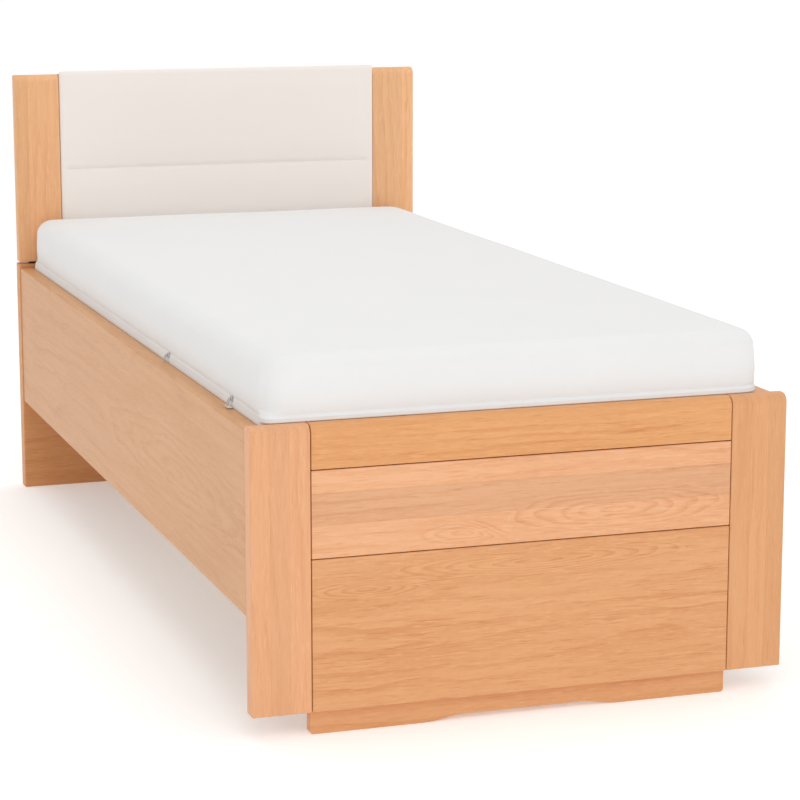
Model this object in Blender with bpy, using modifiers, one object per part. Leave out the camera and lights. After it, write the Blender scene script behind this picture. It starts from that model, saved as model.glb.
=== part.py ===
"""Wooden single bed with an upholstered headboard, a slatted base with tilting back and leg
sections, and a mattress in a zipped cover.

Metres, +Z up. The origin is on the floor under the middle of the bed's box. The foot end faces -Y
and the head end faces +Y. The rest pose is flat.
"""

import math

import bmesh
import bpy
from mathutils import Matrix, Vector

# ---- driving dimensions -------------------------------------------------------------------------

BED_LENGTH = 2.090
BED_WIDTH = 0.985           # over the side rails and the foot posts
HEAD_WIDTH = 0.990
GAP = 0.0003                # left between pieces that touch

FOOT_TOP = 0.5415
FOOT_THICK = 0.034
FOOT_CLEAR = 0.0424         # floor to the underside of posts and lower panel
POST_WIDTH = 0.105
BOARD_GROOVE = 0.0016       # dark line between the boards
LOW_GROOVE = 0.3098         # heights of the two level grooves
HIGH_GROOVE = 0.4633
TOP_ROUND = 0.016           # rounded front edge along the top of footboard and headboard
BOARD_EDGE = 0.0022
END_EDGE = 0.0012           # eased edge round the ends of a shaped board

PLINTH_RECESS = 0.012
PLINTH_THICK = 0.022
PLINTH_RISE = 0.009         # raised middle of the plinth's lower edge
PLINTH_RISE_HALF = 0.108    # half length of its level part
PLINTH_RAMP = 0.076

RAIL_THICK = 0.034
RAIL_LOW = 0.212
RAIL_TOP = 0.534

HEAD_THICK = 0.040
UPPER_THICK = 0.030         # the boards above the shadow gap, level with the panel in front
HEAD_SPLIT_LOW = 0.5440     # the shadow gap between lower panel and upper headboard
HEAD_SPLIT_HIGH = 0.5490
HEAD_TOP = 0.9905
HEAD_BOARD_WIDTH = 0.105
PAD_TOP = 0.998
PAD_LOW = 0.556
PAD_PROUD = 0.007           # how far the pad stands out from the boards beside it
PAD_BACK = 0.012            # how far behind the boards' front its own back lies
PAD_BOARD_THICK = 0.008

MATTRESS_LENGTH = 2.000
MATTRESS_WIDTH = 0.912
MATTRESS_LOW = 0.4725
MATTRESS_TOP = 0.6535
MATTRESS_CORNER = 0.026     # radius seen from above
MATTRESS_EDGE = 0.022

BACK_HINGE_Y = 0.20
LEG_HINGE_Y = -0.15
HINGE_Z = 0.415
BASE_HALF_LENGTH = 0.985
BASE_HALF_WIDTH = 0.450
BASE_THICK = 0.025
BASE_LOW = 0.3953
MEMBER_TOP = 0.4639         # top of every frame member, just under the slats
MEMBER_LOW = 0.4264         # underside of the tilting members
MEMBER_THICK = 0.023
MEMBER_SIDE_GAP = 0.004     # between a tilting member and the fixed frame
EAR_DROP = 0.012            # a member's ear below its pivot, and behind it
EAR_BACK = 0.014
EAR_SLOPE = 0.066           # length of the slope down to the ear, measured from the pivot
LEDGE_HEIGHT = 0.030
SLAT_THICK = 0.008
SLAT_WIDTH = 0.068
BACK_SLATS = (0.30, 0.455, 0.61, 0.765, 0.92)
SEAT_SLATS = (-0.045, 0.095)
LEG_SLATS = (-0.25, -0.415, -0.58, -0.745, -0.91)
SECTION_END = 0.955         # distance of each section's free end from the middle

ROD_RADIUS = 0.005          # the bows' steel rod
PIVOT_RADIUS = 0.004
PIVOT_HOLE = 0.0046
BOW_DROP = 0.018            # height of a bow's own pivot above the section's hinge
BOW_BEND = 0.012            # radius of the rod's bends
BOW_ARM_GAP = 0.016         # middle of an arm to the tilting member beside it
BOW_FOOT_GAP = 0.003        # end of a foot to the fixed frame
BACK_BOW_REACH = 0.30       # hinge to bow pivot, and bow pivot to its foot
LEG_BOW_REACH = 0.25
BACK_TILT = math.radians(45)
LEG_TILT = math.radians(25)
RACK_TOP = 0.4093           # the bow's foot passes just above the tips of the teeth
RACK_TOOTH = 0.0045
BACK_TEETH = 8
LEG_TEETH = 4

ZIP_Z = 0.549
ZIP_PROUD = 0.003           # the cover's hem swells this far behind a slider
ZIP_FOOT_Y = -0.818
ZIP_SIDE_Y = -0.355
SLIDER_SIZE = (0.0050, 0.0120, 0.0090)
PULL_LENGTH = 0.0145
PULL_WIDTH = 0.009
PULL_WIRE = 0.0009
PULL_TILT = math.radians(62)   # below level

# ---- derived places -----------------------------------------------------------------------------

HALF_WIDTH = BED_WIDTH / 2
FOOT_FRONT = -BED_LENGTH / 2
FOOT_BACK = FOOT_FRONT + FOOT_THICK
HEAD_BACK = BED_LENGTH / 2
HEAD_FRONT = HEAD_BACK - HEAD_THICK
UPPER_BACK = HEAD_FRONT + UPPER_THICK
RAIL_INNER = HALF_WIDTH - RAIL_THICK
POST_INNER = HALF_WIDTH - POST_WIDTH
BASE_INNER = BASE_HALF_WIDTH - BASE_THICK
MEMBER_OUTER = BASE_INNER - MEMBER_SIDE_GAP
MEMBER_INNER = MEMBER_OUTER - MEMBER_THICK
PAD_FRONT = HEAD_FRONT - PAD_PROUD
MATTRESS_HEAD = PAD_FRONT - 0.0035
MATTRESS_FOOT = MATTRESS_HEAD - MATTRESS_LENGTH
SIDES = (("left", -1), ("right", 1))

# ---- looks --------------------------------------------------------------------------------------


def look(name, colour, roughness, metallic=0.0):
    made = bpy.data.materials.new(name)
    made.use_nodes = True
    shader = made.node_tree.nodes["Principled BSDF"]
    shader.inputs["Base Color"].default_value = (*colour, 1.0)
    shader.inputs["Roughness"].default_value = roughness
    shader.inputs["Metallic"].default_value = metallic
    made.diffuse_color = (*colour, 1.0)
    return made


def all_looks():
    return {
        "wood": look("beech_wood", (0.76, 0.42, 0.21), 0.45),
        "pale_wood": look("birch_wood", (0.78, 0.60, 0.40), 0.55),
        "steel": look("zinc_plated_steel", (0.55, 0.56, 0.58), 0.35, 1.0),
        "plastic": look("grey_plastic", (0.12, 0.12, 0.13), 0.5),
        "pad": look("cream_cover", (0.83, 0.77, 0.70), 0.8),
        "cover": look("white_cover", (0.85, 0.85, 0.84), 0.9),
        "zip": look("nickel_zip", (0.45, 0.45, 0.46), 0.3, 1.0),
    }


# ---- shape helpers ------------------------------------------------------------------------------


def add_piece(name, mesh, finish, collection=None):
    piece = bpy.data.objects.new(name, mesh)
    (collection or PARTS).objects.link(piece)
    if finish:
        mesh.materials.append(finish)
    return piece


def round_edges(piece, width, steps=2):
    bevel = piece.modifiers.new("rounded_edges", "BEVEL")
    bevel.width = width
    bevel.segments = steps
    bevel.limit_method = "ANGLE"
    bevel.angle_limit = math.radians(40)
    for polygon in piece.data.polygons:
        polygon.use_smooth = True
    return piece


def box(name, low, high, finish, edge=0.0, steps=1):
    """A board or block between two corners."""
    shape = bmesh.new()
    bmesh.ops.create_cube(shape, size=1.0)
    size = [b - a for a, b in zip(low, high)]
    bmesh.ops.scale(shape, vec=size, verts=shape.verts)
    mesh = bpy.data.meshes.new(name)
    shape.to_mesh(mesh)
    shape.free()
    piece = add_piece(name, mesh, finish)
    piece.location = [(a + b) / 2 for a, b in zip(low, high)]
    return round_edges(piece, edge, steps) if edge else piece


def mirrored_box(name, side, low, high, finish, edge=0.0, steps=1):
    """The box as given for the right side, or its mirror image for the left."""
    if side < 0:
        low, high = (-high[0], *low[1:]), (-low[0], *high[1:])
    return box(name, low, high, finish, edge, steps)


def rounded(corners, steps=5):
    """Points of an outline whose corners, as (a, b, radius), are turned into arcs."""
    points = []
    for i, (a, b, radius) in enumerate(corners):
        here = Vector((a, b))
        if not radius:
            points.append(here)
            continue
        before = (Vector(corners[i - 1][:2]) - here).normalized()
        after = (Vector(corners[(i + 1) % len(corners)][:2]) - here).normalized()
        half = before.angle(after) / 2
        centre = here + (before + after).normalized() * radius / math.sin(half)
        start = here + before * radius / math.tan(half) - centre
        end = here + after * radius / math.tan(half) - centre
        first = math.atan2(start.y, start.x)
        sweep = math.remainder(math.atan2(end.y, end.x) - first, math.tau)
        for k in range(steps + 1):
            turn = first + sweep * k / steps
            points.append(centre + Vector((math.cos(turn), math.sin(turn))) * radius)
    return points


ACROSS = {
    "x": Matrix(((0, 0, 1), (1, 0, 0), (0, 1, 0))),
    "y": Matrix(((1, 0, 0), (0, 0, -1), (0, 1, 0))),
    "z": Matrix.Identity(3),
}


def outline(name, points, axis, start, end, finish):
    """A flat outline given to a thickness between two places along an axis.

    The outline's own directions are Y and Z for axis x, X and Z for axis y, X and Y for axis z.
    """
    curve = bpy.data.curves.new(name, "CURVE")
    curve.dimensions = "2D"
    curve.fill_mode = "BOTH"
    curve.extrude = abs(end - start) / 2
    line = curve.splines.new("POLY")
    line.points.add(len(points) - 1)
    for point, (a, b) in zip(line.points, points):
        point.co = (a, b, 0, 1)
    line.use_cyclic_u = True
    guide = bpy.data.objects.new(name + "_guide", curve)
    turn = ACROSS[axis]
    middle = turn @ Vector((0, 0, 1)) * ((start + end) / 2) * (-1 if axis == "y" else 1)
    guide.matrix_world = Matrix.Translation(middle) @ turn.to_4x4()
    return solid_from_curve(guide, name, finish)


def solid_from_curve(guide, name, finish):
    """The guide curve's surface as a welded mesh in world places; the guide is removed."""
    PARTS.objects.link(guide)
    bpy.context.view_layer.update()
    seen = guide.evaluated_get(bpy.context.evaluated_depsgraph_get())
    mesh = bpy.data.meshes.new_from_object(seen)
    mesh.materials.clear()
    mesh.transform(guide.matrix_world)
    bpy.data.objects.remove(guide)
    shape = bmesh.new()
    shape.from_mesh(mesh)
    bmesh.ops.remove_doubles(shape, verts=shape.verts, dist=1e-5)
    bmesh.ops.dissolve_limit(
        shape, angle_limit=math.radians(0.5), verts=shape.verts, edges=shape.edges
    )
    bmesh.ops.recalc_face_normals(shape, faces=shape.faces)
    shape.to_mesh(mesh)
    shape.free()
    mesh.name = name
    return add_piece(name, mesh, finish)


def wire(name, points, radius, finish, closed=False, sides=2):
    """A bent rod or wire along straight runs between points."""
    curve = bpy.data.curves.new(name, "CURVE")
    curve.dimensions = "3D"
    curve.bevel_depth = radius
    curve.bevel_resolution = sides
    curve.use_fill_caps = not closed
    line = curve.splines.new("POLY")
    line.points.add(len(points) - 1)
    for point, place in zip(line.points, points):
        point.co = (*place, 1)
    line.use_cyclic_u = closed
    guide = bpy.data.objects.new(name + "_guide", curve)
    piece = solid_from_curve(guide, name, finish)
    for polygon in piece.data.polygons:
        polygon.use_smooth = True
    return piece


def rod_cutter(name, centre, radius, length):
    """A round cutter along X."""
    shape = bmesh.new()
    bmesh.ops.create_cone(
        shape, cap_ends=True, segments=20, radius1=radius, radius2=radius, depth=length
    )
    mesh = bpy.data.meshes.new(name)
    shape.to_mesh(mesh)
    shape.free()
    cutter = add_piece(name, mesh, None, CUTTERS)
    cutter.rotation_euler = (0, math.pi / 2, 0)
    cutter.location = centre
    cutter.hide_render = True
    cutter.display_type = "WIRE"
    return cutter


def drill(piece, cutter):
    cut = piece.modifiers.new("hole", "BOOLEAN")
    cut.object = cutter
    cut.operation = "DIFFERENCE"
    cut.solver = "EXACT"


def turn_on(name, place, pieces, parent=None):
    """Parents pieces to an empty that lies on their joint's axis."""
    pivot = bpy.data.objects.new(name, None)
    pivot.empty_display_size = 0.05
    PARTS.objects.link(pivot)
    pivot.location = place
    bpy.context.view_layer.update()
    if parent:
        pivot.parent = parent
        pivot.matrix_parent_inverse = parent.matrix_world.inverted()
        bpy.context.view_layer.update()
    for piece in pieces:
        piece.parent = pivot
        piece.matrix_parent_inverse = pivot.matrix_world.inverted()
    return pivot


# ---- footboard ----------------------------------------------------------------------------------


def rounded_top_profile(front, back, low, top):
    """Side view of an upright board: large round at the front top, small one at the back."""
    return rounded(
        [
            (front, low, BOARD_EDGE),
            (back, low, BOARD_EDGE),
            (back, top, TOP_ROUND / 2),
            (front, top, TOP_ROUND),
        ]
    )


def footboard(looks):
    wood = looks["wood"]
    top_profile = rounded_top_profile(FOOT_FRONT, FOOT_BACK, FOOT_CLEAR, FOOT_TOP)
    for label, side in SIDES:
        ends = sorted((side * POST_INNER, side * HALF_WIDTH))
        post = outline(f"foot_post_{label}", top_profile, "x", *ends, wood)
        round_edges(post, END_EDGE, 1)
    half = POST_INNER - BOARD_GROOVE
    rail_low = HIGH_GROOVE + BOARD_GROOVE / 2
    rail_profile = rounded_top_profile(FOOT_FRONT, FOOT_BACK, rail_low, FOOT_TOP)
    rail = outline("foot_top_rail", rail_profile, "x", -half, half, wood)
    round_edges(rail, END_EDGE, 1)
    for name, low, top in (
        ("foot_middle_board", LOW_GROOVE + BOARD_GROOVE / 2, HIGH_GROOVE - BOARD_GROOVE / 2),
        ("foot_lower_panel", FOOT_CLEAR, LOW_GROOVE - BOARD_GROOVE / 2),
    ):
        box(name, (-half, FOOT_FRONT, low), (half, FOOT_BACK, top), wood, BOARD_EDGE / 2)
    plinth(wood)


def plinth(wood):
    """Set-back board on the floor; its lower edge rises in a soft step towards the middle."""
    half = POST_INNER - 0.0005
    top = FOOT_CLEAR - GAP
    steps = 8
    ramp = []
    for k in range(steps + 1):
        t = k / steps
        rise = PLINTH_RISE * (1 - math.cos(math.pi * t)) / 2
        ramp.append((PLINTH_RISE_HALF + PLINTH_RAMP * (1 - t), rise))
    corners = rounded([(half, 0, 0.006), (half, top, 0), (-half, top, 0), (-half, 0, 0.006)])
    left_ramp = [(-a, b) for a, b in ramp]
    points = left_ramp + ramp[::-1] + [tuple(p) for p in corners]
    front = FOOT_FRONT + PLINTH_RECESS
    outline("foot_plinth", points, "y", front, front + PLINTH_THICK, wood)


# ---- headboard ----------------------------------------------------------------------------------


def headboard(looks):
    wood = looks["wood"]
    half = HEAD_WIDTH / 2
    low_panel = (-half, HEAD_FRONT, 0), (half, HEAD_BACK, HEAD_SPLIT_LOW)
    box("head_lower_panel", *low_panel, wood, BOARD_EDGE, 2)
    strip_low = (-half + 0.025, HEAD_FRONT + 0.010, HEAD_SPLIT_LOW + GAP)
    strip_high = (half - 0.025, UPPER_BACK - 0.008, HEAD_SPLIT_HIGH - GAP)
    box("head_gap_strip", strip_low, strip_high, looks["plastic"])
    profile = rounded_top_profile(HEAD_FRONT, UPPER_BACK, HEAD_SPLIT_HIGH, HEAD_TOP)
    for label, side in SIDES:
        ends = sorted((side * (half - HEAD_BOARD_WIDTH), side * half))
        board = outline(f"head_board_{label}", profile, "x", *ends, wood)
        round_edges(board, END_EDGE, 1)
    inner = half - HEAD_BOARD_WIDTH - 0.001
    pad_back = HEAD_FRONT + PAD_BACK
    pad = (-inner, PAD_FRONT, PAD_LOW), (inner, pad_back, PAD_TOP)
    box("head_pad", *pad, looks["pad"], 0.009, 3)
    board_back = pad_back + GAP + PAD_BOARD_THICK
    backing_low = (-inner + 0.004, pad_back + GAP, HEAD_SPLIT_HIGH + 0.003)
    backing_high = (inner - 0.004, board_back, HEAD_TOP - 0.006)
    box("head_pad_backing", backing_low, backing_high, looks["pale_wood"])
    rear_low = (-inner, board_back + GAP, HEAD_SPLIT_HIGH)
    box("head_rear_panel", rear_low, (inner, UPPER_BACK, HEAD_TOP), wood, BOARD_EDGE / 2)


# ---- side rails ---------------------------------------------------------------------------------


def side_rails(looks):
    wood = looks["wood"]
    ledge_top = BASE_LOW - GAP
    for label, side in SIDES:
        low = (RAIL_INNER, FOOT_BACK + GAP, RAIL_LOW)
        high = (HALF_WIDTH, HEAD_FRONT - GAP, RAIL_TOP)
        mirrored_box(f"side_rail_{label}", side, low, high, wood, BOARD_EDGE, 2)
        low = (RAIL_INNER - GAP - 0.025, -0.975, ledge_top - LEDGE_HEIGHT)
        high = (RAIL_INNER - GAP, 0.970, ledge_top)
        mirrored_box(f"slat_ledge_{label}", side, low, high, looks["pale_wood"], 0.0015)
        corner_bracket(f"corner_bracket_foot_{label}", side, FOOT_BACK, 1, looks["steel"])
        corner_bracket(f"corner_bracket_head_{label}", side, HEAD_FRONT, -1, looks["steel"])


def corner_bracket(name, side, face, towards, steel):
    """Steel angle in the inner corner between a rail and an end board."""
    sheet = 0.003
    leg = 0.060
    inner = side * (RAIL_INNER - GAP)
    start = face + towards * GAP
    corners = [
        (inner, start, 0),
        (inner, start + towards * leg, 0),
        (inner - side * sheet, start + towards * leg, 0),
        (inner - side * sheet, start + towards * sheet, 0),
        (inner - side * leg, start + towards * sheet, 0),
        (inner - side * leg, start, 0),
    ]
    points = rounded(corners)
    bracket = outline(name, points, "z", 0.235, 0.335, steel)
    round_edges(bracket, 0.0008, 1)


# ---- slatted base -------------------------------------------------------------------------------


def fixed_frame(looks):
    wood = looks["pale_wood"]
    end = BASE_HALF_LENGTH
    holes = [
        rod_cutter(f"{label}_pivot_hole", (0, y, HINGE_Z), PIVOT_HOLE, 1.0)
        for label, y in (("back", BACK_HINGE_Y), ("leg", LEG_HINGE_Y))
    ]
    for label, side in SIDES:
        low, high = (BASE_INNER, -end, BASE_LOW), (BASE_HALF_WIDTH, end, MEMBER_TOP)
        member = mirrored_box(f"base_side_{label}", side, low, high, wood)
        for hole in holes:
            drill(member, hole)
    inner = BASE_INNER - GAP
    for label, start in (("foot", -end), ("head", end - BASE_THICK)):
        low, high = (-inner, start, BASE_LOW), (inner, start + BASE_THICK, MEMBER_TOP)
        box(f"base_end_{label}", low, high, wood, 0.0015)
    for label, y in (("back", BACK_HINGE_Y), ("leg", LEG_HINGE_Y)):
        ends = (-BASE_HALF_WIDTH, y, HINGE_Z), (BASE_HALF_WIDTH, y, HINGE_Z)
        wire(f"{label}_pivot_rod", ends, PIVOT_RADIUS, looks["steel"], sides=4)
    slats("seat", SEAT_SLATS, BASE_HALF_WIDTH - 0.003, wood)
    return holes


def slats(section, places, half_length, wood):
    low = MEMBER_TOP + GAP
    made = []
    for number, y in enumerate(places, start=1):
        corner = (-half_length, y - SLAT_WIDTH / 2, low)
        opposite = (half_length, y + SLAT_WIDTH / 2, low + SLAT_THICK)
        made.append(box(f"{section}_slat_{number}", corner, opposite, wood, 0.003, 2))
    return made


def member_profile(hinge_y, end_y):
    """Side view of a tilting member: an ear round the pivot, then a level beam.

    The top slopes down towards the pivot, so that it clears the mattress when it is raised.
    """
    way = math.copysign(1, end_y - hinge_y)
    ear_low = HINGE_Z - EAR_DROP
    ear_back = hinge_y - way * EAR_BACK
    return rounded(
        [
            (ear_back, ear_low, 0.011),
            (hinge_y + way * 0.040, ear_low, 0.010),
            (hinge_y + way * 0.060, MEMBER_LOW, 0.008),
            (end_y, MEMBER_LOW, 0.003),
            (end_y, MEMBER_TOP, 0.003),
            (hinge_y + way * EAR_SLOPE, MEMBER_TOP, 0.006),
            (ear_back, HINGE_Z + EAR_BACK, 0.010),
        ],
        steps=4,
    )


def tilting_section(section, hinge_y, end_y, hole, slat_places, bow_y, looks):
    """Two members, a bar over the bow, an end bar and the slats; returns them all."""
    wood = looks["pale_wood"]
    profile = member_profile(hinge_y, end_y)
    made = []
    for label, side in SIDES:
        ends = sorted((side * MEMBER_INNER, side * MEMBER_OUTER))
        member = outline(f"{section}_side_{label}", profile, "x", *ends, wood)
        drill(member, hole)
        made.append(member)
    inner = MEMBER_INNER - GAP
    bar_low = HINGE_Z + BOW_DROP + ROD_RADIUS + GAP
    way = math.copysign(1, end_y - hinge_y)
    places = {"bow": bow_y, "end": end_y - way * 0.0275}
    for label, y in places.items():
        low, high = (-inner, y - 0.025, bar_low), (inner, y + 0.025, MEMBER_TOP)
        made.append(box(f"{section}_{label}_bar", low, high, wood, 0.0015))
    return made + slats(section, slat_places, MEMBER_OUTER, wood)


def bow_places(hinge_y, way, reach):
    """Pivot and foot of a bow as (y, z). Hinge, pivot and foot make an equal-sided triangle."""
    lift = math.asin(BOW_DROP / reach)
    pivot = (hinge_y + way * reach * math.cos(lift), HINGE_Z + BOW_DROP)
    foot = (hinge_y + way * 2 * reach * math.cos(lift), HINGE_Z)
    return pivot, foot


def bow(section, hinge_y, way, reach, steel):
    """One bent rod: feet turned outwards, two arms, and the cross rod that it turns on."""
    (pivot_y, pivot_z), (foot_y, foot_z) = bow_places(hinge_y, way, reach)
    arm, foot_end, bend = MEMBER_INNER - BOW_ARM_GAP, BASE_INNER - BOW_FOOT_GAP, BOW_BEND
    half = [(foot_end, foot_y, foot_z), (arm + bend, foot_y, foot_z)]
    slope = (foot_z - pivot_z) / (foot_y - pivot_y)
    near, far = foot_y - way * bend, pivot_y + way * bend
    for k in (1, 2):
        turn = math.pi / 2 * k / 3
        out, along = bend * (1 - math.sin(turn)), bend * (1 - math.cos(turn))
        half.append((arm + out, foot_y - way * along, foot_z - slope * way * along))
    half.append((arm, near, foot_z - slope * way * bend))
    half.append((arm, far, pivot_z + slope * way * bend))
    for k in (1, 2):
        turn = math.pi / 2 * k / 3
        inward, along = bend * (1 - math.cos(turn)), bend * (1 - math.sin(turn))
        half.append((arm - inward, pivot_y + way * along, pivot_z + slope * way * along))
    half.append((arm - bend, pivot_y, pivot_z))
    points = half + [(-x, y, z) for x, y, z in half[::-1]]
    return wire(f"{section}_bow", points, ROD_RADIUS, steel)


def racks(section, hinge_y, way, reach, tilt, teeth, plastic):
    """Toothed strips on the fixed frame, as long as the run of the bow's feet."""
    lift = math.asin(BOW_DROP / reach)
    near = hinge_y + way * (2 * reach * math.cos(lift + tilt) - 0.014)
    far = hinge_y + way * (2 * reach * math.cos(lift) + 0.014)
    pitch = (far - near) / teeth
    points = [(near, BASE_LOW + 0.001)]
    for k in range(teeth):
        points.append((near + pitch * k, RACK_TOP))
        points.append((near + pitch * (k + 0.25), RACK_TOP))
        points.append((near + pitch * (k + 0.35), RACK_TOP - RACK_TOOTH))
        points.append((near + pitch * (k + 0.75), RACK_TOP - RACK_TOOTH))
    points += [(far, RACK_TOP), (far, BASE_LOW + 0.001)]
    for label, side in SIDES:
        ends = sorted((side * (BASE_INNER - GAP), side * (MEMBER_INNER + 0.004)))
        outline(f"{section}_rack_{label}", points, "x", *ends, plastic)


def slatted_base(looks):
    back_hole, leg_hole = fixed_frame(looks)
    pivots = {}
    for section, hinge_y, way, reach, tilt, teeth, places, hole in (
        ("back", BACK_HINGE_Y, 1, BACK_BOW_REACH, BACK_TILT, BACK_TEETH, BACK_SLATS, back_hole),
        ("leg", LEG_HINGE_Y, -1, LEG_BOW_REACH, LEG_TILT, LEG_TEETH, LEG_SLATS, leg_hole),
    ):
        (bow_y, bow_z), _ = bow_places(hinge_y, way, reach)
        end_y = way * SECTION_END
        moving = tilting_section(section, hinge_y, end_y, hole, places, bow_y, looks)
        pivot = turn_on(f"{section}_tilt_axis", (0, hinge_y, HINGE_Z), moving)
        rod = bow(section, hinge_y, way, reach, looks["steel"])
        turn_on(f"{section}_bow_axis", (0, bow_y, bow_z), [rod], pivot)
        racks(section, hinge_y, way, reach, tilt, teeth, looks["plastic"])
        pivots[section] = pivot
    return pivots


# ---- mattress -----------------------------------------------------------------------------------


def mattress(looks, pivots):
    half = MATTRESS_WIDTH / 2
    cuts = (MATTRESS_FOOT, LEG_HINGE_Y, BACK_HINGE_Y, MATTRESS_HEAD)
    radii = {MATTRESS_FOOT: MATTRESS_CORNER, MATTRESS_HEAD: MATTRESS_CORNER}
    made = {}
    for name, low, high in zip(("legs", "seat", "back"), cuts, cuts[1:]):
        low_r, high_r = radii.get(low, 0), radii.get(high, 0)
        low += 0 if low_r else GAP / 2
        high -= 0 if high_r else GAP / 2
        corners = [
            (-half, low, low_r),
            (half, low, low_r),
            (half, high, high_r),
            (-half, high, high_r),
        ]
        places = MATTRESS_LOW, MATTRESS_TOP
        made[name] = outline(f"mattress_{name}", rounded(corners), "z", *places, looks["cover"])
        soften_rim(made[name])
    for section, piece in (("back", made["back"]), ("leg", made["legs"])):
        piece.parent = pivots[section]
        piece.matrix_parent_inverse = pivots[section].matrix_world.inverted()


def soften_rim(piece):
    """Rounds the long edges along the sides and free ends, and leaves the cut faces square."""
    mesh = piece.data
    weight = mesh.attributes.new("bevel_weight_edge", "FLOAT", "EDGE")
    cut_places = (LEG_HINGE_Y, BACK_HINGE_Y)
    for edge in mesh.edges:
        ends = [mesh.vertices[i].co for i in edge.vertices]
        level = abs(ends[0].z - ends[1].z) < 1e-4
        on_cut = any(all(abs(p.y - cut) < 0.001 for p in ends) for cut in cut_places)
        weight.data[edge.index].value = 1.0 if level and not on_cut else 0.0
    bevel = piece.modifiers.new("soft_rim", "BEVEL")
    bevel.limit_method = "WEIGHT"
    bevel.width = MATTRESS_EDGE
    bevel.segments = 3


def zips(looks, leg_pivot):
    """Two sliders on the zip along the left side, each with a wire pull lying over the rail."""
    metal = looks["zip"]
    outer = -MATTRESS_WIDTH / 2 - ZIP_PROUD - SLIDER_SIZE[0]
    for label, y in (("foot", ZIP_FOOT_Y), ("side", ZIP_SIDE_Y)):
        low = (outer, y - SLIDER_SIZE[1] / 2, ZIP_Z - SLIDER_SIZE[2] / 2)
        high = (outer + SLIDER_SIZE[0], y + SLIDER_SIZE[1] / 2, ZIP_Z + SLIDER_SIZE[2] / 2)
        slider = box(f"zip_slider_{label}", low, high, metal, 0.0012, 2)
        slide = turn_on(f"zip_slider_{label}_run", (outer, y, ZIP_Z), [slider], leg_pivot)
        hinge = Vector((outer - PULL_WIRE - GAP, y, ZIP_Z + 0.001))
        pull = wire(f"zip_pull_{label}", pull_points(hinge), PULL_WIRE, metal, closed=True)
        turn_on(f"zip_pull_{label}_axis", hinge, [pull], slide)


def pull_points(hinge):
    """A long ring: a straight bar on the hinge line, two sides and a round end."""
    half, steps = PULL_WIDTH / 2, 8
    straight = PULL_LENGTH - half
    flat = [(half * 0.55, 0.0), (half, straight * 0.25)]
    for k in range(steps + 1):
        turn = math.pi * k / steps
        flat.append((half * math.cos(turn), straight + half * math.sin(turn)))
    flat += [(-half, straight * 0.25), (-half * 0.55, 0.0)]
    out = Vector((-math.cos(PULL_TILT), 0, -math.sin(PULL_TILT)))
    return [hinge + Vector((0, a, 0)) + out * b for a, b in flat]


# ---- build --------------------------------------------------------------------------------------


def clear_scene():
    for old in list(bpy.data.objects):
        bpy.data.objects.remove(old)


def new_collection(name):
    made = bpy.data.collections.new(name)
    bpy.context.scene.collection.children.link(made)
    return made


clear_scene()
PARTS = new_collection("adjustable_bed")
CUTTERS = new_collection("cutters")
CUTTERS.hide_render = True


def build():
    looks = all_looks()
    footboard(looks)
    headboard(looks)
    side_rails(looks)
    pivots = slatted_base(looks)
    mattress(looks, pivots)
    zips(looks, pivots["leg"])


build()
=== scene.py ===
import math

import bpy
import numpy as np
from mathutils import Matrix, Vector


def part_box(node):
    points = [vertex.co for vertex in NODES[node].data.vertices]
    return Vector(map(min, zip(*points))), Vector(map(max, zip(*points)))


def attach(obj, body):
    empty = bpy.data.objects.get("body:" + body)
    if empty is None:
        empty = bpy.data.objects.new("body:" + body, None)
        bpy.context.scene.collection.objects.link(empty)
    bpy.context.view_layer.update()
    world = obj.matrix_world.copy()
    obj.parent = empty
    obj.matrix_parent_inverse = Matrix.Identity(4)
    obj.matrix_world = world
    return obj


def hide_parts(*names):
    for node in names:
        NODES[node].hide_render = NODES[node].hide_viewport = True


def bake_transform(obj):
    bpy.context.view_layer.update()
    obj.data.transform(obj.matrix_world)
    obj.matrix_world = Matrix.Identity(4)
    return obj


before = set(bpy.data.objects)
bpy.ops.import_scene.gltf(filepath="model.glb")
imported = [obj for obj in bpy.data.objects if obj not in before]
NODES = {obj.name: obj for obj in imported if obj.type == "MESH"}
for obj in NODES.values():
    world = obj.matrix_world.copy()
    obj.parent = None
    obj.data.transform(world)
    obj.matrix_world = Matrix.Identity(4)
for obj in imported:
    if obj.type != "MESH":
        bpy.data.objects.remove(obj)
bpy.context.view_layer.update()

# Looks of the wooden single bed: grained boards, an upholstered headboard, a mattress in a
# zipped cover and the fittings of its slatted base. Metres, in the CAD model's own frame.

SIDES = (("left", -1), ("right", 1))

# ---- camera, floor and light --------------------------------------------------------------------

LENS_MM = 117.3195
SENSOR_MM = 36.0
CAMERA_PLACE = (-1.6028, -5.1169, 1.4047)
CAMERA_YAW = math.radians(18.63)
CAMERA_PITCH = math.radians(10.94)
CLIP_END = 200
WORLD_COLOUR = (1.0, 0.995, 0.985, 1)
WORLD_LEFT, WORLD_RIGHT = 0.66, 0.82     # the world's strength towards -X, and from a little +X on
FLOOR_HALF = 60.0
FLOOR_GLOW = 0.27                        # lifts the floor to the photo's white


def camera():
    data = bpy.data.cameras.new("camera")
    data.sensor_width = SENSOR_MM
    data.lens = LENS_MM
    data.clip_end = CLIP_END
    made = bpy.data.objects.new("camera", data)
    made.location = CAMERA_PLACE
    made.rotation_euler = (math.pi / 2 - CAMERA_PITCH, 0, -CAMERA_YAW)
    bpy.context.scene.collection.objects.link(made)
    bpy.context.scene.camera = made


def area_light(name, place, target, size, power):
    data = bpy.data.lights.new(name, "AREA")
    data.shape = "RECTANGLE"
    data.size, data.size_y = size
    data.energy = power
    made = bpy.data.objects.new(name, data)
    made.location = place
    made.rotation_euler = (Vector(target) - Vector(place)).to_track_quat("-Z", "Y").to_euler()
    bpy.context.scene.collection.objects.link(made)


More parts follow.
